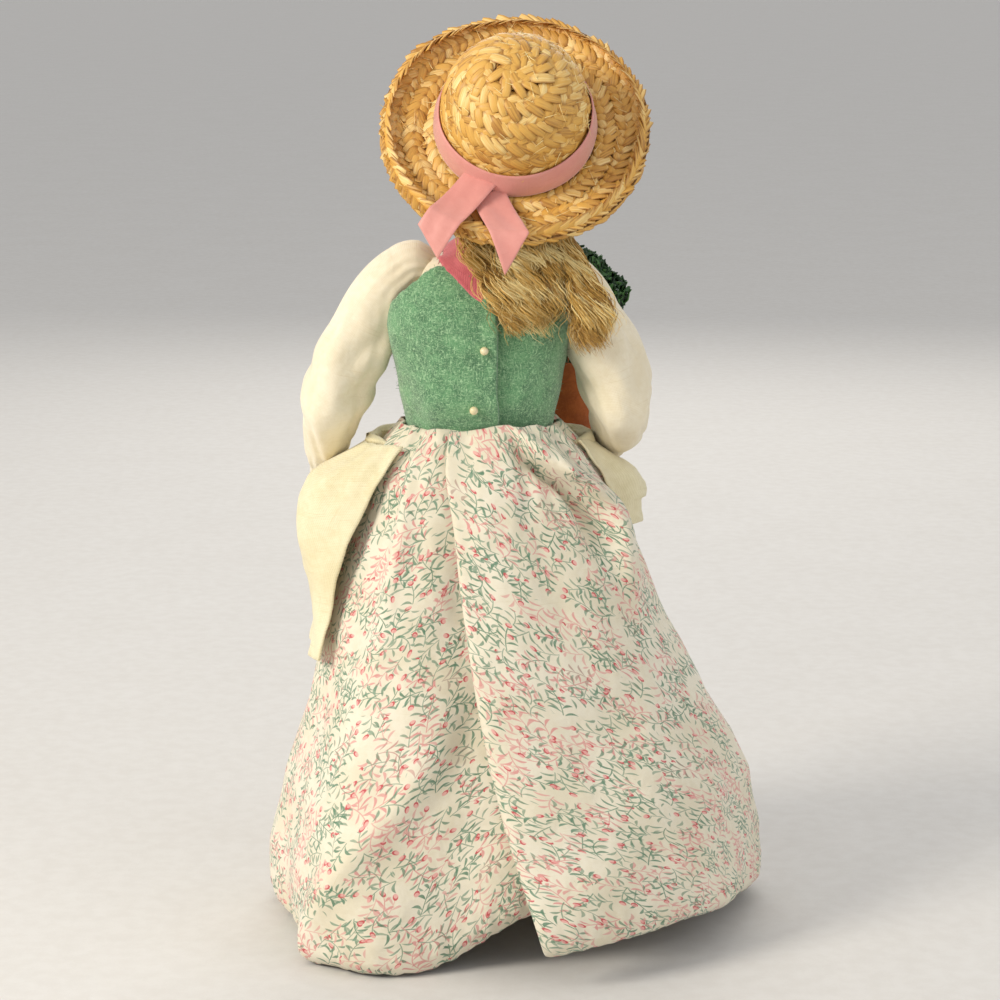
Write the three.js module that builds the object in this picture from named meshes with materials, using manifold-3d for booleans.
// Costumed caroler figurine: a wire armature wrapped in paper, a modelled head under a straw hat,
// and sewn clothes: muslin blouse, felt vest, kerchief, printed skirt and homespun apron. One arm
// carries a potted plant. Millimetres, +Z up. The figure faces +Y, its right hand is towards +X,
// and the origin lies on the floor under the middle of the skirt.
import * as THREE from "three";
import { mergeVertices } from "three/addons/utils/BufferGeometryUtils.js";
import Module from "manifold-3d";

const wasm = await Module();
wasm.setup();

// Fits and stock
const CLEARANCE = 0.3; // gap between two pieces that touch
const WIRE_RADIUS = 1.6; // armature wire
const CLOTH = 1.0; // sewn cotton with its turnings
const FELT = 1.4; // vest felt
const RIBBON = 0.6; // hat ribbon

// Skirt
const WAIST_HEIGHT = 184; // top edge of the skirt above the floor
const HEM_HALF_WIDTH = 93; // the bell at its widest
const HEM_HALF_DEPTH = 79;
const HEM_LIFT = 14; // how far the hem stands off the floor at the right of the back
const GATHER_COUNT = 13; // gathers round the waist
const GATHER_DEPTH = 1.1;
const FOLD_DEPTH = 4; // broad folds of the bell
const SLIT_LIFT = 20; // how far the under edge is drawn up at the hem
const OVERLAP_DEGREES = 10; // how far the left back edge runs under the right one
const BACK_EDGE_STAND = 3.4; // the right back edge stands this far over the left one
const BACK_EDGE_FLARE = 7; // and flares this much further at the hem

// Torso
const TORSO_X = -13; // the waist sways to the figure's left
const TORSO_LENGTH = 62; // waist to the top of the shoulders
const HIP_HALF_WIDTH = 23;
const HIP_HALF_DEPTH = 16;
const WAIST_HALF_WIDTH = 23;
const WAIST_HALF_DEPTH = 15.5;
const CHEST_HALF_WIDTH = 25.5;
const CHEST_HALF_DEPTH = 16.5;
const NECK_BASE_HALF_WIDTH = 13;
const NECK_BASE_HALF_DEPTH = 9;
const HIP_DROP = 34; // how far the wrapped torso runs below the waist

// Vest and kerchief
const VEST_TUCK = 7; // vest hem below the skirt's top edge
const VEST_TOP_DROP = 4; // vest top edge below the top of the shoulders
const VEST_OVERLAP_DEGREES = 31; // the left back panel laps the right one
const VEST_EDGE_DEGREES = 277; // where the left back panel's edge lies
const ARMHOLE_RADIUS = 11.4;
const KERCHIEF_POINT_DROP = 18; // kerchief point below the shoulders at the back
const KERCHIEF_FRONT_DROP = 24;
const KERCHIEF_SHOULDER_DROP = 3;
const KERCHIEF_RISE = 10; // kerchief roll above the shoulders, round the neck
const PIN_HEAD_RADIUS = 1.8;
const PIN_SHANK_RADIUS = 0.45;
const PIN_INSET = 4.5; // pins back from the panel's edge
const PIN_DROPS = { pearl_pin_upper: 31, pearl_pin_lower: 53 }; // below the shoulders

// Arms
const SHOULDER_HALF_SPAN = 25;
const SHOULDER_DROP = 8; // shoulder wire below the top of the shoulders
const UPPER_ARM = 55;
const FOREARM = 42;
const ARM_ARCH = 8; // how far the upper arm bows outwards
const STUB = 9; // arm wire inside the torso
const ARM_WRAP_RADIUS = 3.9;
const SLEEVE_ROOT_RADIUS = 10;
const SLEEVE_PUFF_RADIUS = 11.6;
const SLEEVE_ELBOW_RADIUS = 10.4;
const HAND_LENGTH = 19;
const LEAD_SHARE = 0.35; // how much of the hand the arm wire runs into
const HAND_HALF_WIDTH = 4.8;
const HAND_HALF_THICKNESS = 3.1;

// Legs and shoes
const LEG_HALF_SPREAD = 10; // hips
const FOOT_HALF_SPREAD = 15;
const FOOT_MIDDLE_X = -3;
const SHOE_LENGTH = 40;
const SHOE_HALF_WIDTH = 7.6;
const SHOE_HEIGHT = 15;
const ANKLE_RADIUS = 4.6;
const CALF_RADIUS = 7.2;
const THIGH_RADIUS = 8.6;

// Head and hair
const HEAD_HALF_WIDTH = 16.5;
const HEAD_HALF_DEPTH = 18.5;
const HEAD_HALF_HEIGHT = 21;
const HEAD_X = -0.5; // the head leans to the figure's right
const HEAD_Y = -2;
const HEAD_RISE = 41; // middle of the head above the shoulders
const NECK_X = -7;
const NECK_RADIUS = 7.4;
const WIG_RADIUS = 24.2;
const NAPE_RISE = 5.5; // lower edge of the hair that turns with the head, above the shoulders
const HAIR_THICKNESS = 6;

// Hat
const HAT_TIP_DEGREES = 38; // hat axis above the horizon, pointing back
const HAT_SEAT = 3; // brim plane behind the middle of the head
const BRIM_RADIUS = 47.3;
const CROWN_HEIGHT = 38;
const BRAID = 1.6; // plaited straw
const CROWN_ROWS = 5;
const BRIM_ROWS = 4;
const BAND_WIDTH = 10;
const TAIL_WIDTH = 11.5;

// Apron
const APRON_STAND = 1.6; // apron off the skirt's folds
const APRON_DROP = 88; // waist to hem
const APRON_BAND_RADIUS = 2.6;
const LEFT_WING = 15; // the fold that stands out at the left hip
const RIGHT_WING = 2.5; // the pleats that stand out at the right hip
const RIGHT_LIFT = 50; // how far the right corner is drawn up
const PLEAT_DEPTH = 1.5;

// Potted plant
const POT_HEIGHT = 31;
const POT_RIM_RADIUS = 14;
const POT_BASE_RADIUS = 10;
const POT_WALL = 1.6;
const RIM_HEIGHT = 7;
const SOIL_DROP = 4; // soil below the rim
const STEM_RADIUS = 1.5;
const FOLIAGE_RADIUS = 22;
const FOLIAGE_RISE = 27; // middle of the foliage above the rim

// Small helpers
const { degToRad, lerp, smoothstep, clamp } = THREE.MathUtils;
const TURN = 2 * Math.PI;
const point = (x, y, z) => new THREE.Vector3(x, y, z);
const bump = (x, middle, width) => Math.exp(-(((x - middle) / width) ** 2));

function along(table, x, column) {
  // Straight-line value of a column of a short table whose first column rises.
  const last = table.length - 1;
  let i = 0;
  while (i < last - 1 && x > table[i + 1][0]) i += 1;
  const share = clamp((x - table[i][0]) / (table[i + 1][0] - table[i][0]), 0, 1);
  return lerp(table[i][column], table[i + 1][column], share);
}

function closedGeometry(vertices, triangles) {
  const geometry = new THREE.BufferGeometry();
  const places = vertices.flatMap((vertex) => vertex.toArray());
  geometry.setAttribute("position", new THREE.Float32BufferAttribute(places, 3));
  let volume = 0;
  for (let i = 0; i < triangles.length; i += 3) {
    const [a, b, c] = [0, 1, 2].map((k) => vertices[triangles[i + k]]);
    volume += a.dot(b.clone().cross(c));
  }
  geometry.setIndex(volume < 0 ? triangles.toReversed() : triangles);
  return geometry;
}

function slab(outer, inner, across, down, closed = false) {
  // A sheet with two faces given as point(u, v), joined round its rims; closed sheets meet at u = 0 and 1.
  const columns = closed ? across : across + 1;
  const vertices = [];
  const triangles = [];
  for (const face of [outer, inner])
    for (let j = 0; j <= down; j += 1)
      for (let i = 0; i < columns; i += 1) vertices.push(face(i / across, j / down));
  const half = columns * (down + 1);
  const at = (i, j, back) => (back ? half : 0) + j * columns + (i % columns);
  const quad = (a, b, c, d) => triangles.push(a, b, c, a, c, d);
  for (let j = 0; j < down; j += 1)
    for (let i = 0; i < across; i += 1) {
      quad(at(i, j, 0), at(i, j + 1, 0), at(i + 1, j + 1, 0), at(i + 1, j, 0));
      quad(at(i, j, 1), at(i + 1, j, 1), at(i + 1, j + 1, 1), at(i, j + 1, 1));
    }
  for (let i = 0; i < across; i += 1) {
    quad(at(i, 0, 0), at(i + 1, 0, 0), at(i + 1, 0, 1), at(i, 0, 1));
    quad(at(i, down, 0), at(i, down, 1), at(i + 1, down, 1), at(i + 1, down, 0));
  }
  if (!closed)
    for (let j = 0; j < down; j += 1) {
      quad(at(0, j, 0), at(0, j, 1), at(0, j + 1, 1), at(0, j + 1, 0));
      quad(at(across, j, 0), at(across, j + 1, 0), at(across, j + 1, 1), at(across, j, 1));
    }
  return closedGeometry(vertices, triangles);
}

function loft(rings) {
  // A solid through rings with equal numbers of points, capped at both ends.
  const sides = rings[0].length;
  const vertices = rings.flat();
  const triangles = [];
  for (let j = 0; j + 1 < rings.length; j += 1)
    for (let i = 0; i < sides; i += 1) {
      const [a, b] = [j * sides + i, j * sides + ((i + 1) % sides)];
      triangles.push(a, b, b + sides, a, b + sides, a + sides);
    }
  [0, rings.length - 1].forEach((j) => {
    const centre = rings[j].reduce((sum, corner) => sum.add(corner), point(0, 0, 0)).divideScalar(sides);
    const middle = vertices.push(centre) - 1;
    for (let i = 0; i < sides; i += 1) {
      const [a, b] = [j * sides + i, j * sides + ((i + 1) % sides)];
      triangles.push(middle, ...(j === 0 ? [b, a] : [a, b]));
    }
  });
  return closedGeometry(vertices, triangles);
}

function ringOn(curve, share, radius, sides) {
  // Points of a round section square to a curve, with the section's zero angle held to one side.
  const middle = curve.getPointAt(share);
  const ahead = curve.getTangentAt(share);
  const aside = Math.abs(ahead.y) > 0.95 ? point(1, 0, 0) : point(0, 1, 0);
  const side = aside.addScaledVector(ahead, -ahead.dot(aside)).normalize();
  const rise = ahead.clone().cross(side);
  return Array.from({ length: sides }, (_, i) => {
    const turn = (i / sides) * TURN;
    const reach = typeof radius === "function" ? radius(turn) : radius;
    const corner = middle.clone().addScaledVector(side, reach * Math.cos(turn));
    return corner.addScaledVector(rise, reach * Math.sin(turn));
  });
}

function tubeSolid(curve, from, to, radius, sides, steps) {
  const shares = Array.from({ length: steps + 1 }, (_, i) => lerp(from, to, i / steps));
  return loft(shares.map((share) => ringOn(curve, share, radius, sides)));
}

function tubeShell(curve, from, to, outerRadius, innerRadius, sides, steps) {
  const face = (radius) => (u, v) => {
    const share = lerp(from, to, v);
    const rings = ringOn(curve, share, (turn) => radius(v, turn), sides);
    return rings[Math.round(u * sides) % sides];
  };
  return slab(face(outerRadius), face(innerRadius), sides, steps, true);
}

function rod(from, to, radius, sides = 10) {
  return tubeSolid(new THREE.LineCurve3(from, to), 0, 1, radius, sides, 1);
}

function shaped(geometry, move) {
  // A stock geometry with each vertex moved to move(vertex).
  const places = geometry.attributes.position;
  for (let i = 0; i < places.count; i += 1) {
    const moved = move(point(places.getX(i), places.getY(i), places.getZ(i)));
    places.setXYZ(i, moved.x, moved.y, moved.z);
  }
  return geometry;
}

function solid(geometry) {
  const bare = geometry.index ? geometry.clone() : geometry;
  bare.deleteAttribute("normal");
  bare.deleteAttribute("uv");
  const merged = mergeVertices(bare, 1e-4);
  return new wasm.Manifold(
    new wasm.Mesh({
      numProp: 3,
      vertProperties: new Float32Array(merged.attributes.position.array),
      triVerts: new Uint32Array(merged.index.array),
    }),
  );
}

function geometryOf(made) {
  const mesh = made.getMesh();
  const geometry = new THREE.BufferGeometry();
  geometry.setAttribute("position", new THREE.BufferAttribute(Float32Array.from(mesh.vertProperties), 3));
  geometry.setIndex(new THREE.BufferAttribute(Uint32Array.from(mesh.triVerts), 1));
  return geometry;
}

const cut = (geometry, ...tools) =>
  geometryOf(tools.reduce((left, tool) => left.subtract(solid(tool)), solid(geometry)));
const join = (geometry, ...more) =>
  geometryOf(more.reduce((sum, other) => sum.add(solid(other)), solid(geometry)));

// Finishes
const finish = (color, roughness, metalness = 0) =>
  new THREE.MeshStandardMaterial({ color, roughness, metalness });
const FINISHES = {
  muslin: finish(0xf2ecd8, 0.9),
  homespun: finish(0xe9dfb6, 0.95),
  print: finish(0xe6e0cb, 0.9),
  felt: finish(0x5f9a63, 1),
  kerchief: finish(0xc9525c, 0.95),
  ribbon: finish(0xe08f84, 0.6),
  straw: finish(0xd2a54c, 0.75),
  hair: finish(0xb98b3e, 0.7),
  skin: finish(0xe3b596, 0.6),
  pearl: finish(0xe6dcbd, 0.3),
  terracotta: finish(0xa85a26, 0.85),
  soil: finish(0x3a2a1c, 1),
  leaf: finish(0x23401f, 0.8),
  wire: finish(0x8a8a88, 0.4, 0.9),
  paper: finish(0xe4ddd0, 0.95),
  shoe: finish(0x2a211c, 0.5),
};

const figurine = new THREE.Group();
const trunk = new THREE.Group();
const headParts = new THREE.Group();
const leftArmParts = new THREE.Group();
const rightArmParts = new THREE.Group();
figurine.add(trunk, headParts, leftArmParts, rightArmParts);

function place(group, name, geometry, finishName) {
  const mesh = new THREE.Mesh(geometry, FINISHES[finishName]);
  mesh.name = name;
  group.add(mesh);
  return mesh;
}

// Levels shared by several pieces
const shoulderTop = WAIST_HEIGHT + TORSO_LENGTH;
const shoulderLevel = shoulderTop - SHOULDER_DROP;
const hipBottom = WAIST_HEIGHT - HIP_DROP;
const bore = WIRE_RADIUS + CLEARANCE;

// Torso sections: height, half width, half depth
const TORSO = [
  [hipBottom, HIP_HALF_WIDTH * 0.86, HIP_HALF_DEPTH * 0.86],
  [WAIST_HEIGHT - HIP_DROP / 2, HIP_HALF_WIDTH, HIP_HALF_DEPTH],
  [WAIST_HEIGHT, WAIST_HALF_WIDTH, WAIST_HALF_DEPTH],
  [WAIST_HEIGHT + 0.6 * TORSO_LENGTH, CHEST_HALF_WIDTH, CHEST_HALF_DEPTH],
  [WAIST_HEIGHT + 0.8 * TORSO_LENGTH, 0.93 * CHEST_HALF_WIDTH, 0.92 * CHEST_HALF_DEPTH],
  [
    WAIST_HEIGHT + 0.93 * TORSO_LENGTH,
    lerp(CHEST_HALF_WIDTH, NECK_BASE_HALF_WIDTH, 0.35),
    lerp(CHEST_HALF_DEPTH, NECK_BASE_HALF_DEPTH, 0.6),
  ],
  [shoulderTop, NECK_BASE_HALF_WIDTH, NECK_BASE_HALF_DEPTH],
];
const TORSO_SQUARENESS = 2.4;

function squaredTurn(turn) {
  const round = (c) => Math.sign(c) * Math.abs(c) ** (2 / TORSO_SQUARENESS);
  return [round(Math.cos(turn)), round(Math.sin(turn))];
}

function torsoPoint(turn, height, off) {
  // A point over the torso at an offset from the wrapped core.
  const [c, s] = squaredTurn(turn);
  return point(TORSO_X + (along(TORSO, height, 1) + off) * c, (along(TORSO, height, 2) + off) * s, height);
}

// Offsets of the clothes over the wrapped core
const blouseOff = CLEARANCE + CLOTH;
const vestUnder = blouseOff + 2 * CLEARANCE;
const vestOff = vestUnder + FELT;
const vestLapOff = vestOff + CLEARANCE + FELT;
const kerchiefUnder = vestLapOff + 3 * CLEARANCE;

// Arms: each runs along one curve, from a stub in the torso over the shoulder to the hand
function armCurve(sign, upperWay, foreWay, handWay) {
  const shoulder = point(TORSO_X + sign * SHOULDER_HALF_SPAN, 0, shoulderLevel);
  const elbow = shoulder.clone().addScaledVector(upperWay.normalize(), UPPER_ARM);
  const wrist = elbow.clone().addScaledVector(foreWay.normalize(), FOREARM);
  const arch = shoulder.clone().lerp(elbow, 0.5).add(point(sign * 0.86 * ARM_ARCH, 0, 0.5 * ARM_ARCH));
  const stub = (reach) => shoulder.clone().add(point(sign * reach, 0, 0));
  const palm = wrist.clone().addScaledVector(handWay.normalize(), HAND_LENGTH);
  const lead = wrist.clone().addScaledVector(handWay, LEAD_SHARE * HAND_LENGTH);
  const middle = elbow.clone().lerp(wrist, 0.5);
  const root = [stub(-STUB), stub(-STUB / 2), stub(3), stub(8)];
  const curve = new THREE.CatmullRomCurve3([...root, arch, elbow, middle, wrist, lead]);
  return { curve, length: curve.getLength(), shoulder, wrist, palm, handWay };
}

// Ways that each upper arm, forearm and hand point
const leftArm = armCurve(
  -1,
  point(-0.52, -0.02, -0.85),
  point(-0.1, 0.66, -0.74),
  point(-0.05, 0.75, -0.66),
);
const rightArm = armCurve(
  1,
  point(0.49, 0.02, -0.87),
  point(-0.14, 0.81, -0.56),
  point(-0.52, 0.85, 0),
);
const sleeveStart = STUB + 1.8; // from the wire's inner end to the sleeve's root, outside the blouse
const cuffEnd = LEAD_SHARE * HAND_LENGTH + 2.2; // from the wire's outer end back to the cuff

function sleeveRadius(v, turn, phase) {
  // Outer radius of a sleeve: a round root, a puff, a bent elbow and a close cuff, with soft folds.
  const cuff = ARM_WRAP_RADIUS + CLEARANCE + CLOTH;
  const table = [
    [0, SLEEVE_ROOT_RADIUS],
    [0.18, SLEEVE_ROOT_RADIUS],
    [0.4, SLEEVE_PUFF_RADIUS],
    [0.62, SLEEVE_ELBOW_RADIUS],
    [0.9, 0.6 * SLEEVE_ELBOW_RADIUS],
    [1, cuff],
  ];
  const folds = 0.07 * bump(v, 0.5, 0.24) * Math.sin(3 * turn + 5 * v + phase);
  return along(table, v, 1) * (1 + folds);
}

function handGeometry(arm, thumbSide) {
  // A mitten hand with a thumb, along the arm's hand direction, palm level.
  const ahead = arm.handWay;
  const across = ahead.clone().cross(point(0, 0, 1)).normalize();
  const up = across.clone().cross(ahead);
  const start = arm.wrist.clone();
  const profile = [
    [0, 0.62, 0.9],
    [0.25, 0.85, 1],
    [0.5, 1, 1],
    [0.75, 0.86, 0.8],
    [0.93, 0.6, 0.6],
    [1, 0.25, 0.3],
  ];
  const section = ([share, wide, thick]) =>
    Array.from({ length: 10 }, (_, i) => {
      const turn = (i / 10) * TURN;
      return start
        .clone()
        .addScaledVector(ahead, share * HAND_LENGTH)
        .addScaledVector(across, wide * HAND_HALF_WIDTH * Math.cos(turn))
        .addScaledVector(up, thick * HAND_HALF_THICKNESS * Math.sin(turn));
    });
  const thumbFrom = start.clone().addScaledVector(ahead, 0.2 * HAND_LENGTH);
  const thumbTo = start
    .clone()
    .addScaledVector(ahead, 0.62 * HAND_LENGTH)
    .addScaledVector(across, thumbSide * 1.5 * HAND_HALF_WIDTH);
  const thumb = new THREE.LineCurve3(thumbFrom, thumbTo);
  const whole = join(loft(profile.map(section)), tubeSolid(thumb, 0, 1, 0.5 * HAND_HALF_THICKNESS, 8, 1));
  const wireEnd = arm.curve.getPointAt(1);
  const socketEnd = wireEnd.clone().addScaledVector(arm.curve.getTangentAt(1), CLEARANCE);
  return cut(whole, tubeSolid(arm.curve, 0.8, 1, bore + 0.2, 10, 10), rod(wireEnd, socketEnd, bore, 10));
}

const ARM_STEPS = 24; // the wire and its wrapping share their bends

function addArm(group, side, arm, phase, thumbSide) {
  const start = sleeveStart / arm.length;
  const cuff = 1 - cuffEnd / arm.length;
  place(group, `${side}_arm_wire`, tubeSolid(arm.curve, 0, 1, WIRE_RADIUS, 8, ARM_STEPS), "wire");
  const first = Math.ceil(start * ARM_STEPS);
  const last = Math.floor(cuff * ARM_STEPS);
  const wrap = tubeShell(
    arm.curve,
    first / ARM_STEPS,
    last / ARM_STEPS,
    () => ARM_WRAP_RADIUS,
    () => bore,
    8,
    last - first,
  );
  place(group, `${side}_arm_wrap`, wrap, "paper");
  const outer = (v, turn) => sleeveRadius(v, turn, phase);
  const inner = (v, turn) => sleeveRadius(v, turn, phase) - CLOTH;
  place(group, `${side}_sleeve`, tubeShell(arm.curve, start, cuff, outer, inner, 14, 11), "muslin");
  place(group, `${side}_hand`, handGeometry(arm, thumbSide), "skin");
}

addArm(leftArmParts, "left", leftArm, 0.4, 1);
addArm(rightArmParts, "right", rightArm, 2.2, -1);

// Legs stand in the shoes and run up into the wrapped torso
function addLeg(side, sign) {
  const footX = FOOT_MIDDLE_X + sign * FOOT_HALF_SPREAD;
  const sole = point(footX, 0, 0);
  const hip = point(TORSO_X + sign * LEG_HALF_SPREAD, 0, hipBottom);
  const way = hip.clone().sub(sole).normalize();
  const socket = sole.clone().addScaledVector(way, 4);
  const top = hip.clone().addScaledVector(way, HIP_DROP / 2);
  const shank = new THREE.LineCurve3(socket, top);
  const length = shank.getLength();
  place(trunk, `${side}_leg_wire`, tubeSolid(shank, 0, 1, WIRE_RADIUS, 8, 1), "wire");
  const ankle = (SHOE_HEIGHT - 4 + 2 * CLEARANCE) / length / way.z;
  const thigh = 1 - HIP_DROP / 2 / length - (0.5 * THIGH_RADIUS + CLEARANCE) / length;
  const table = [
    [0, ANKLE_RADIUS],
    [0.3, CALF_RADIUS],
    [0.5, 0.8 * CALF_RADIUS],
    [1, THIGH_RADIUS],
  ];
  const wrap = tubeShell(shank, ankle, thigh, (v) => along(table, v, 1), () => bore, 10, 4);
  place(trunk, `${side}_leg_wrap`, wrap, "paper");
  const ankleBore = rod(socket.clone().addScaledVector(way, -CLEARANCE), top, bore);
  place(trunk, `${side}_shoe`, cut(shoeGeometry(footX), ankleBore), "shoe");
  return { from: socket, to: top.clone().addScaledVector(way, CLEARANCE) };
}

function shoeGeometry(footX) {
  // A low shoe with a flat sole: share of length, share of width, share of height.
  const profile = [
    [0, 0.5, 0.75],
    [0.1, 0.85, 1],
    [0.35, 0.8, 1],
    [0.55, 0.9, 0.68],
    [0.75, 1, 0.52],
    [0.92, 0.78, 0.38],
    [1, 0.35, 0.22],
  ];
  const heel = -0.36 * SHOE_LENGTH;
  const section = ([share, wide, high]) => {
    const y = heel + share * SHOE_LENGTH;
    const arc = Array.from({ length: 9 }, (_, i) => {
      const turn = (i / 8) * Math.PI;
      const rise = SHOE_HEIGHT * high * Math.sqrt(Math.sin(turn));
      return point(footX + SHOE_HALF_WIDTH * wide * Math.cos(turn), y, rise);
    });
    return [...arc, point(footX, y, 0)];
  };
  return loft(profile.map(section));
}

const legBores = [addLeg("left", -1), addLeg("right", 1)].map(({ from, to }) => rod(from, to, bore));

// Wrapped torso with sockets for the legs, the neck wire and both arms
const neckTop = point(NECK_X, HEAD_Y, shoulderTop + HEAD_RISE - 8);
const neckFoot = point(NECK_X, HEAD_Y, shoulderTop - 24);
const TORSO_SIDES = 24;
const torsoRing = (height) =>
  Array.from({ length: TORSO_SIDES }, (_, i) => torsoPoint((i / TORSO_SIDES) * TURN, height, 0));
const armBores = [leftArm, rightArm].map(({ curve, shoulder }) => {
  const outward = Math.sign(shoulder.x - TORSO_X);
  const from = curve.getPointAt(0).add(point(-outward * CLEARANCE, 0, 0));
  const to = shoulder.clone().add(point(outward * 6, 0, 0));
  return rod(from, to, bore);
});
const lowered = (from, by) => from.clone().add(point(0, 0, -by));
const neckBore = rod(lowered(neckFoot, CLEARANCE), lowered(neckTop, -1), bore);
const core = loft(TORSO.map(([height]) => torsoRing(height)));
place(trunk, "torso_core", cut(core, ...legBores, ...armBores, neckBore), "paper");
place(trunk, "neck_wire", rod(neckFoot, neckTop, WIRE_RADIUS, 8), "wire");

// Blouse body over the wrapped torso, with its rows at the torso's own sections
function torsoLevels(bottom, top) {
  const levels = TORSO.map(([height]) => height);
  const between = levels.filter((height) => height > bottom + 1 && height < top - 1);
  return [top, ...between.reverse(), bottom];
}
const blouseLevels = torsoLevels(WAIST_HEIGHT - 0.5 * HIP_DROP, shoulderTop - 1.5);
const blouseRows = blouseLevels.length - 1;
const blouseFace = (off) => (u, v) => torsoPoint(u * TURN, blouseLevels[Math.round(v * blouseRows)], off);
const blouse = slab(blouseFace(blouseOff), blouseFace(CLEARANCE), TORSO_SIDES, blouseRows, true);
place(trunk, "blouse_body", cut(blouse, ...armBores), "muslin");

// Felt vest: one strip round the torso, its left back panel lapped over the right one and pinned
const vestLevels = torsoLevels(WAIST_HEIGHT - VEST_TUCK, shoulderTop - VEST_TOP_DROP);
const vestRows = vestLevels.length - 1;
const vestSweep = 360 + VEST_OVERLAP_DEGREES;
const vestStart = VEST_EDGE_DEGREES - VEST_OVERLAP_DEGREES;
const LAP_BLEND_DEGREES = 45;

function vestFace(off) {
  return (u, v) => {
    const swept = u * vestSweep;
    const lap = smoothstep(swept, 360 - LAP_BLEND_DEGREES, 360) * (FELT + CLEARANCE);
    return torsoPoint(degToRad(vestStart + swept), vestLevels[Math.round(v * vestRows)], off + lap);
  };
}

function backSurface(x, height, off) {
  // Depth of the back of the clothes at a place on the torso.
  const wide = along(TORSO, height, 1) + off;
  const deep = along(TORSO, height, 2) + off;
  const reach = 1 - Math.abs((x - TORSO_X) / wide) ** TORSO_SQUARENESS;
  return -deep * reach ** (1 / TORSO_SQUARENESS);
}

const armholes = [leftArm, rightArm].map(({ shoulder }) => {
  const outward = Math.sign(shoulder.x - TORSO_X);
  const from = point(TORSO_X + outward * 0.62 * CHEST_HALF_WIDTH, 0, shoulderLevel);
  return rod(from, shoulder.clone().add(point(outward * 20, 0, 0)), ARMHOLE_RADIUS, 20);
});
const pinHoles = [];
for (const [name, drop] of Object.entries(PIN_DROPS)) {
  const height = shoulderTop - drop;
  const edge = torsoPoint(degToRad(VEST_EDGE_DEGREES), height, vestLapOff);
  const x = edge.x - PIN_INSET;
  const surface = backSurface(x, height, vestLapOff);
  const shankEnd = surface + 2 * FELT;
  const headAt = surface - CLEARANCE - PIN_HEAD_RADIUS;
  const ball = new THREE.SphereGeometry(PIN_HEAD_RADIUS, 10, 6).translate(x, headAt, height);
  const from = point(x, headAt, height);
  const shank = rod(from, point(x, shankEnd, height), PIN_SHANK_RADIUS, 8);
  place(trunk, name, join(ball, shank), "pearl");
  pinHoles.push(rod(from, point(x, shankEnd + FELT, height), PIN_SHANK_RADIUS + CLEARANCE, 8));
}
const vestStrip = slab(vestFace(vestOff), vestFace(vestUnder), 40, vestRows);
place(trunk, "vest", cut(vestStrip, ...armholes, ...pinHoles), "felt");

// Kerchief: a folded triangle round the neck, its point on the back
const kerchiefTop = shoulderTop + KERCHIEF_RISE;

function kerchiefFace(off) {
  return (u, v) => {
    const turn = u * TURN;
    const back = Math.max(0, -Math.sin(turn)) ** 3;
    const front = Math.max(0, Math.sin(turn)) ** 3;
    const drop = KERCHIEF_SHOULDER_DROP + (KERCHIEF_POINT_DROP - KERCHIEF_SHOULDER_DROP) * back;
    const lowest = shoulderTop - drop - (KERCHIEF_FRONT_DROP - KERCHIEF_SHOULDER_DROP) * front;
    const height = lerp(kerchiefTop, lowest, v);
    const low = torsoPoint(turn, Math.min(height, shoulderTop), kerchiefUnder + off);
    const up = clamp((height - shoulderTop) / KERCHIEF_RISE, 0, 1) ** 0.5;
    const ring = NECK_RADIUS + 1.6 + off;
    const high = point(NECK_X + ring * Math.cos(turn), HEAD_Y + ring * Math.sin(turn), height);
    return point(lerp(low.x, high.x, up), lerp(low.y, high.y, up), height);
  };
}

place(trunk, "kerchief", slab(kerchiefFace(CLOTH), kerchiefFace(0), 24, 5, true), "kerchief");

// Skirt: a gathered bell whose back edges overlap. Shares of the drop and of the flare.
const BELL = [
  [0, 0],
  [0.04, 0.1],
  [0.1, 0.21],
  [0.28, 0.42],
  [0.55, 0.66],
  [0.72, 0.87],
  [0.86, 0.98],
  [0.93, 1],
  [1, 0.985],
];
// Broad folds: where they lie round the bell, how wide they are, and their share of the fold depth.
const FOLDS = [
  [20, 15, 1.9],
  [56, 13, -0.8],
  [92, 16, 2.6],
  [130, 14, -0.8],
  [166, 14, 0.9],
  [196, 11, -0.8],
  [230, 17, 3],
  [256, 10, -1.3],
  [306, 20, 1],
  [346, 13, -0.7],
];
const skirtInnerOff = vestLapOff + CLEARANCE + GATHER_DEPTH;
const skirtWaist = {
  wide: WAIST_HALF_WIDTH + skirtInnerOff + CLOTH,
  deep: WAIST_HALF_DEPTH + skirtInnerOff + CLOTH,
};

function bellPoint(turn, drop, off) {
  // A point over the smooth bell: drop runs from 0 at the waist to 1 at the hem.
  const flare = along(BELL, drop, 1);
  const wide = lerp(skirtWaist.wide, HEM_HALF_WIDTH - FOLD_DEPTH, flare) + off;
  const deep = lerp(skirtWaist.deep, HEM_HALF_DEPTH - FOLD_DEPTH, flare) + off;
  const middle = TORSO_X * (1 - drop);
  const [square, squareDeep] = squaredTurn(turn);
  const rounding = smoothstep(drop, 0, 0.2);
  const c = lerp(square, Math.cos(turn), rounding);
  const s = lerp(squareDeep, Math.sin(turn), rounding);
  return point(middle + wide * c, deep * s, WAIST_HEIGHT * (1 - drop));
}

function skirtFolds(turn, drop) {
  const gathers = GATHER_DEPTH * (1 - smoothstep(drop, 0.1, 0.45)) * Math.cos(GATHER_COUNT * turn);
  const degrees = THREE.MathUtils.euclideanModulo(THREE.MathUtils.radToDeg(turn), 360);
  const nearest = (middle) => THREE.MathUtils.euclideanModulo(degrees - middle + 180, 360) - 180;
  let folds = 0;
  for (const [middle, width, depth] of FOLDS) folds += depth * bump(nearest(middle), 0, width);
  return gathers + FOLD_DEPTH * smoothstep(drop, 0.25, 0.95) * folds;
}

const slitDegrees = (drop) => lerp(253, 276, drop);

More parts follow.
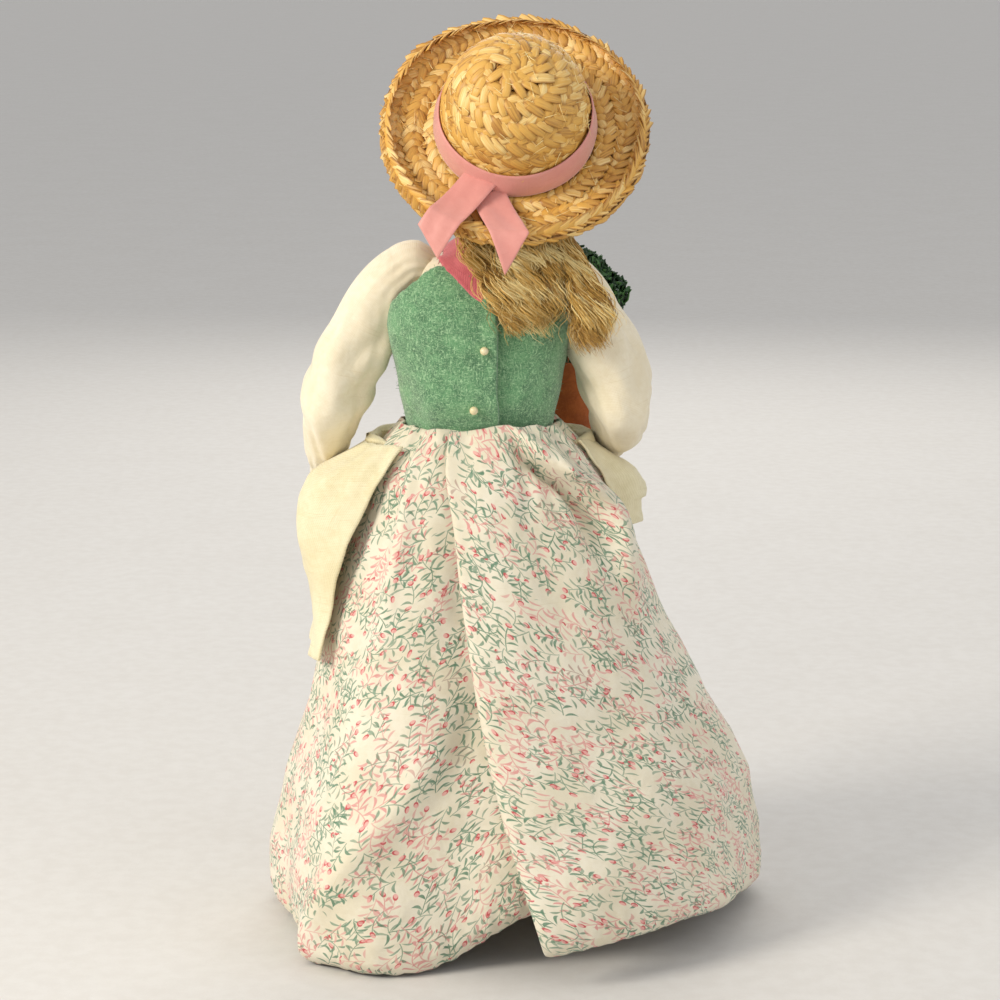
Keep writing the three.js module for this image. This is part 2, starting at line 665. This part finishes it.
function skirtFace(off) {
  return (u, v) => {
    const drop = v;
    const swept = u * (360 + OVERLAP_DEGREES);
    const turn = degToRad(slitDegrees(drop) + swept);
    const edge = 1 - smoothstep(swept, 0, 38);
    const stand = edge * (BACK_EDGE_STAND + BACK_EDGE_FLARE * drop ** 2);
    const made = bellPoint(turn, drop, skirtFolds(turn, drop) + stand + off);
    const lift = HEM_LIFT * bump(swept, 30, 55) + SLIT_LIFT * smoothstep(swept, 330, 362);
    return made.add(point(0, 0, lift * smoothstep(drop, 0.5, 1)));
  };
}

place(trunk, "skirt", slab(skirtFace(0), skirtFace(-CLOTH), 54, 9), "print");

// Apron over the front of the skirt, with a fold out at the left hip and pleats at the right
const APRON_LEFT_DEGREES = 203;
const APRON_RIGHT_DEGREES = -10;
const apronBandLevel = WAIST_HEIGHT - 2 * APRON_BAND_RADIUS - 1;

function apronFace(off) {
  return (u, v) => {
    const degrees = lerp(APRON_LEFT_DEGREES, APRON_RIGHT_DEGREES, u);
    const leftFold = bump(degrees, 181, 13);
    const rightFold = bump(degrees, 8, 17);
    const topDrop = 2.2 * APRON_BAND_RADIUS + 3.4 + 12 * leftFold + 8 * rightFold;
    const hemDrop = APRON_DROP - RIGHT_LIFT * (1 - smoothstep(degrees, -5, 75)) + 2 * leftFold;
    const fall = lerp(topDrop, hemDrop, v);
    const wing = LEFT_WING * leftFold * bump(v, 0.3, 0.42) + RIGHT_WING * rightFold * (1 - 0.5 * v);
    const pleats = PLEAT_DEPTH * rightFold * Math.cos(3 * TURN * v);
    const ripple = 1.2 * v * Math.cos(degToRad(9 * degrees)) + 1.2 * v;
    const envelope = lerp(GATHER_DEPTH, FOLD_DEPTH, smoothstep(fall / WAIST_HEIGHT, 0.25, 0.95));
    const stand = envelope + APRON_STAND + wing + pleats + PLEAT_DEPTH * rightFold + ripple + off;
    return bellPoint(degToRad(degrees), fall / WAIST_HEIGHT, stand);
  };
}

place(trunk, "apron", slab(apronFace(CLOTH), apronFace(0), 36, 8), "homespun");

const bandDrop = 1 - apronBandLevel / WAIST_HEIGHT;
const bandOff = GATHER_DEPTH + APRON_BAND_RADIUS + CLEARANCE;
const bandPath = new THREE.CatmullRomCurve3(
  [196, 170, 140, 110, 80, 50, 20, -8].map((degrees) => bellPoint(degToRad(degrees), bandDrop, bandOff)),
);
place(trunk, "apron_band", tubeSolid(bandPath, 0, 1, APRON_BAND_RADIUS, 8, 12), "homespun");

// Head and neck in one, bored for the neck wire
const headMiddle = point(HEAD_X, HEAD_Y, shoulderTop + HEAD_RISE);

function headSurface(way, grow) {
  // A plain modelled face on an egg-shaped head.
  const low = Math.max(0, -way.z);
  const narrow = 1 - 0.3 * low ** 1.6;
  const face = Math.max(0, way.y);
  const nose = 3.2 * bump(way.x, 0, 0.13) * bump(way.z, -0.14, 0.17) * smoothstep(face, 0.6, 0.9);
  const eyes = bump(Math.abs(way.x), 0.36, 0.17) * bump(way.z, 0.12, 0.13);
  const sockets = 1.1 * eyes * smoothstep(face, 0.5, 0.8);
  const chin = 1.6 * bump(way.x, 0, 0.25) * bump(way.z, -0.72, 0.2) * face;
  return point(
    way.x * (HEAD_HALF_WIDTH * narrow + grow),
    way.y * (HEAD_HALF_DEPTH * (1 - 0.12 * low) + grow) + nose - sockets + chin,
    way.z * (HEAD_HALF_HEIGHT + grow),
  ).add(headMiddle);
}

const ballAround = (radius, wide, high) => new THREE.SphereGeometry(radius, wide, high).rotateX(Math.PI / 2);
const headBall = (grow, wide, high) =>
  shaped(ballAround(1, wide, high), (way) => headSurface(way.normalize(), grow));
const neckStart = point(NECK_X, HEAD_Y, shoulderTop + CLEARANCE);
const neckEnd = point(NECK_X, HEAD_Y, headMiddle.z - 0.5 * HEAD_HALF_HEIGHT);
const neck = (grow) => rod(neckStart, neckEnd, NECK_RADIUS + grow, 16);
place(headParts, "head", cut(join(headBall(0, 22, 16), neck(0)), neckBore), "skin");

// Hat frame: its axis points up and back from the middle of the head
const hatAxis = point(0, -Math.cos(degToRad(HAT_TIP_DEGREES)), Math.sin(degToRad(HAT_TIP_DEGREES)));
const hatGroup = new THREE.Group();
hatGroup.position.copy(headMiddle).addScaledVector(hatAxis, HAT_SEAT);
hatGroup.quaternion.setFromUnitVectors(point(0, 0, 1), hatAxis);
headParts.add(hatGroup);
hatGroup.updateMatrixWorld(true);

// Hair that turns with the head: a cap inside the hat's crown and down the nape
const napeLevel = shoulderTop + NAPE_RISE;
const cap = ballAround(WIG_RADIUS, 20, 14).translate(...headMiddle.toArray());
const faceOpening = shaped(new THREE.SphereGeometry(1, 16, 10), (p) =>
  point(p.x * 15.5, 27 + p.y * 26, -5 + p.z * 22).add(headMiddle),
);
const napeFace = (inner) => (u, v) => {
  const turn = degToRad(lerp(208, 332, u));
  const height = lerp(headMiddle.z - 0.62 * WIG_RADIUS, napeLevel, v);
  const reach = NECK_RADIUS + (inner ? 7.5 : lerp(10.5, 14.5, v));
  return point(NECK_X + reach * Math.cos(turn), HEAD_Y + reach * Math.sin(turn), height);
};
const nape = slab(napeFace(false), napeFace(true), 10, 2);
const headRoom = headBall(2 * CLEARANCE, 16, 12);
place(headParts, "hair_cap", cut(join(cap, nape), headRoom, neck(CLEARANCE), faceOpening), "hair");

// Straw hat: rows of plait coiled into a domed crown and a brim
const brimAt = (radius) => 3 * ((radius - 0.7 * BRIM_RADIUS) / (0.3 * BRIM_RADIUS)) ** 2 - 1.2;

function hatProfile() {
  const seat = WIG_RADIUS + 0.4;
  const crown = new THREE.SplineCurve([
    new THREE.Vector2(0.01, CROWN_HEIGHT - BRAID),
    new THREE.Vector2(0.45 * seat, CROWN_HEIGHT - 2.2 * BRAID),
    new THREE.Vector2(0.82 * seat, 0.72 * CROWN_HEIGHT),
    new THREE.Vector2(0.96 * seat, 0.4 * CROWN_HEIGHT),
    new THREE.Vector2(seat, 0),
  ]);
  const inside = crown.getPoints(6);
  const outside = [new THREE.Vector2(0, CROWN_HEIGHT)];
  const lip = 0.45 * BRAID; // how far each row laps over the next
  for (let row = 0; row < CROWN_ROWS; row += 1)
    for (const share of [0.04, 0.96]) {
      const at = crown.getPoint(clamp((row + share) / CROWN_ROWS, 0.02, 0.94));
      const rise = share > 0.5 ? BRAID : BRAID - lip;
      const out = crown.getTangent((row + share) / CROWN_ROWS);
      outside.push(new THREE.Vector2(at.x - out.y * rise, at.y + out.x * rise));
    }
  const brimStart = seat + 1.4 * BRAID;
  const under = [];
  for (let row = 0; row < BRIM_ROWS; row += 1)
    for (const share of [0.04, 0.96]) {
      const radius = lerp(brimStart, BRIM_RADIUS, (row + share) / BRIM_ROWS);
      outside.push(new THREE.Vector2(radius, brimAt(radius) + (share > 0.5 ? BRAID + lip : BRAID)));
      if (share > 0.5) under.unshift(new THREE.Vector2(radius, brimAt(radius)));
    }
  inside[0].x = 0;
  return [...outside, ...under, ...inside.slice(0, -1).reverse()].reverse();
}
const hatGeometry = new THREE.LatheGeometry(hatProfile(), 30).rotateX(Math.PI / 2);
place(hatGroup, "straw_hat", hatGeometry, "straw");

// Ribbon round the foot of the crown, with two crossed tails on the brim
const bandFoot = WIG_RADIUS + 0.4 + 2.6 * BRAID;
const bandBase = 3.4;
const bandProfile = [
  new THREE.Vector2(bandFoot, bandBase),
  new THREE.Vector2(bandFoot + RIBBON, bandBase),
  new THREE.Vector2(bandFoot - 0.16 * BAND_WIDTH + RIBBON, bandBase + BAND_WIDTH),
  new THREE.Vector2(bandFoot - 0.16 * BAND_WIDTH, bandBase + BAND_WIDTH),
  new THREE.Vector2(bandFoot, bandBase),
];
place(hatGroup, "hat_band", new THREE.LatheGeometry(bandProfile, 30).rotateX(Math.PI / 2), "ribbon");

function tailGeometry(from, to, rise) {
  // A flat strip over the brim from the crown's foot to past the rim, in the hat's frame.
  const way = to.clone().sub(from).normalize();
  const side = point(-way.y, way.x, 0);
  const face = (off) => (u, v) => {
    const at = from.clone().lerp(to, v).addScaledVector(side, (u - 0.5) * TAIL_WIDTH);
    const radius = Math.min(Math.hypot(at.x, at.y), BRIM_RADIUS);
    const brim = brimAt(Math.max(radius, 0.7 * BRIM_RADIUS)) + 1.45 * BRAID;
    return at.setZ(brim + rise + off);
  };
  return slab(face(RIBBON), face(0), 2, 6);
}
const leftTail = tailGeometry(point(-9, -35, 0), point(-31, -46, 0), 2.2);
place(hatGroup, "ribbon_tail_left", leftTail, "ribbon");
const rightTail = tailGeometry(point(-15, -31, 0), point(1, -52, 0), 1.1);
place(hatGroup, "ribbon_tail_right", rightTail, "ribbon");

// Hair that lies on the back and the right shoulder
function lockGeometry(points, widths) {
  // A flattened lock through hand-placed points, with ridges of hair down it.
  const path = new THREE.CatmullRomCurve3(points);
  const rows = 7;
  const sides = 14;
  const rings = Array.from({ length: rows + 1 }, (_, j) => {
    const share = j / rows;
    const at = path.getPointAt(share);
    const wide = along(widths, share, 1);
    const thick = 0.5 * HAIR_THICKNESS * lerp(1, 0.5, share);
    return Array.from({ length: sides }, (__, i) => {
      const turn = (i / sides) * TURN;
      const ridge = 1 + 0.12 * Math.cos(5 * turn + 4 * share);
      return at.clone().add(point(wide * Math.cos(turn), thick * ridge * Math.sin(turn), 0));
    });
  });
  return loft(rings);
}
const hairUnder = kerchiefUnder + CLOTH + CLEARANCE;
const backLevel = (height) => backSurface(TORSO_X, height, hairUnder) - 0.56 * HAIR_THICKNESS;
const lockTop = napeLevel - CLEARANCE;
const backLock = lockGeometry(
  [
    point(-5, backLevel(shoulderTop - 12), lockTop),
    point(-3, backLevel(shoulderTop - 18), shoulderTop - 8),
    point(2, backLevel(shoulderTop - 20), shoulderTop - 20),
    point(5, backLevel(shoulderTop - 20), shoulderTop - 33),
  ],
  [
    [0, 17],
    [0.5, 15],
    [1, 6],
  ],
);
place(trunk, "back_hair", backLock, "hair");
const shoulderLock = lockGeometry(
  [
    point(18.6, backLevel(shoulderTop - 12) - 0.5, lockTop),
    point(26, backLevel(shoulderTop - 14) - 0.5, shoulderTop - 10),
    point(28, backLevel(shoulderTop - 14) - 0.5, shoulderTop - 24),
    point(28, backLevel(shoulderTop - 14) - 0.5, shoulderTop - 36),
  ],
  [
    [0, 7],
    [0.5, 8.5],
    [1, 4.5],
  ],
);
place(trunk, "shoulder_hair", shoulderLock, "hair");

// Potted plant standing on the right palm
const potAt = rightArm.wrist
  .clone()
  .addScaledVector(rightArm.handWay, 0.62 * HAND_LENGTH)
  .add(point(-0.75 * POT_BASE_RADIUS, 0, HAND_HALF_THICKNESS + CLEARANCE));
const plantGroup = new THREE.Group();
plantGroup.position.copy(potAt);
rightArmParts.add(plantGroup);
const rimFoot = POT_HEIGHT - RIM_HEIGHT;
const shoulderRadius = POT_RIM_RADIUS - 1.4;
const potProfile = [
  [0, 0],
  [POT_BASE_RADIUS, 0],
  [shoulderRadius, rimFoot],
  [POT_RIM_RADIUS - 0.3, rimFoot],
  [POT_RIM_RADIUS, POT_HEIGHT],
  [POT_RIM_RADIUS - POT_WALL, POT_HEIGHT],
  [shoulderRadius - POT_WALL, rimFoot],
  [POT_BASE_RADIUS - POT_WALL, POT_WALL],
  [0, POT_WALL],
].map(([radius, height]) => new THREE.Vector2(radius, height));
place(plantGroup, "flower_pot", new THREE.LatheGeometry(potProfile, 28).rotateX(Math.PI / 2), "terracotta");
const potInside = (height) => lerp(POT_BASE_RADIUS, shoulderRadius, height / rimFoot) - POT_WALL;
const soilTop = POT_HEIGHT - SOIL_DROP;
const soilProfile = [
  [0, POT_WALL + CLEARANCE],
  [potInside(POT_WALL) - CLEARANCE, POT_WALL + CLEARANCE],
  [potInside(rimFoot) - CLEARANCE, rimFoot],
  [potInside(rimFoot) - CLEARANCE, soilTop],
  [0, soilTop + 1],
].map(([radius, height]) => new THREE.Vector2(radius, height));
const foliageAt = POT_HEIGHT + FOLIAGE_RISE;
const stemFoot = point(0, 0, 0.4 * POT_HEIGHT);
const stemTop = point(2, 1, foliageAt);
const stemBore = rod(lowered(stemFoot, CLEARANCE), lowered(stemTop, -1), STEM_RADIUS + CLEARANCE, 8);
const soil = new THREE.LatheGeometry(soilProfile, 20).rotateX(Math.PI / 2);
place(plantGroup, "potting_soil", cut(soil, stemBore), "soil");
place(plantGroup, "plant_stem", rod(stemFoot, stemTop, STEM_RADIUS, 8), "leaf");
const bush = shaped(new THREE.IcosahedronGeometry(1, 4), (p) => {
  const lumps = 1 + 0.07 * Math.sin(6 * p.x + 2) * Math.sin(7 * p.y + 1) + 0.06 * Math.sin(8 * p.z);
  return p.multiplyScalar(lumps * FOLIAGE_RADIUS).add(point(2, 1, foliageAt));
});
place(plantGroup, "plant_foliage", cut(bush, stemBore), "leaf");

// The origin comes to the floor under the middle of the whole
const whole = new THREE.Box3().setFromObject(figurine);
const middleOfWhole = whole.getCenter(point(0, 0, 0));
figurine.position.set(-middleOfWhole.x, -middleOfWhole.y, -whole.min.z);

export default figurine;
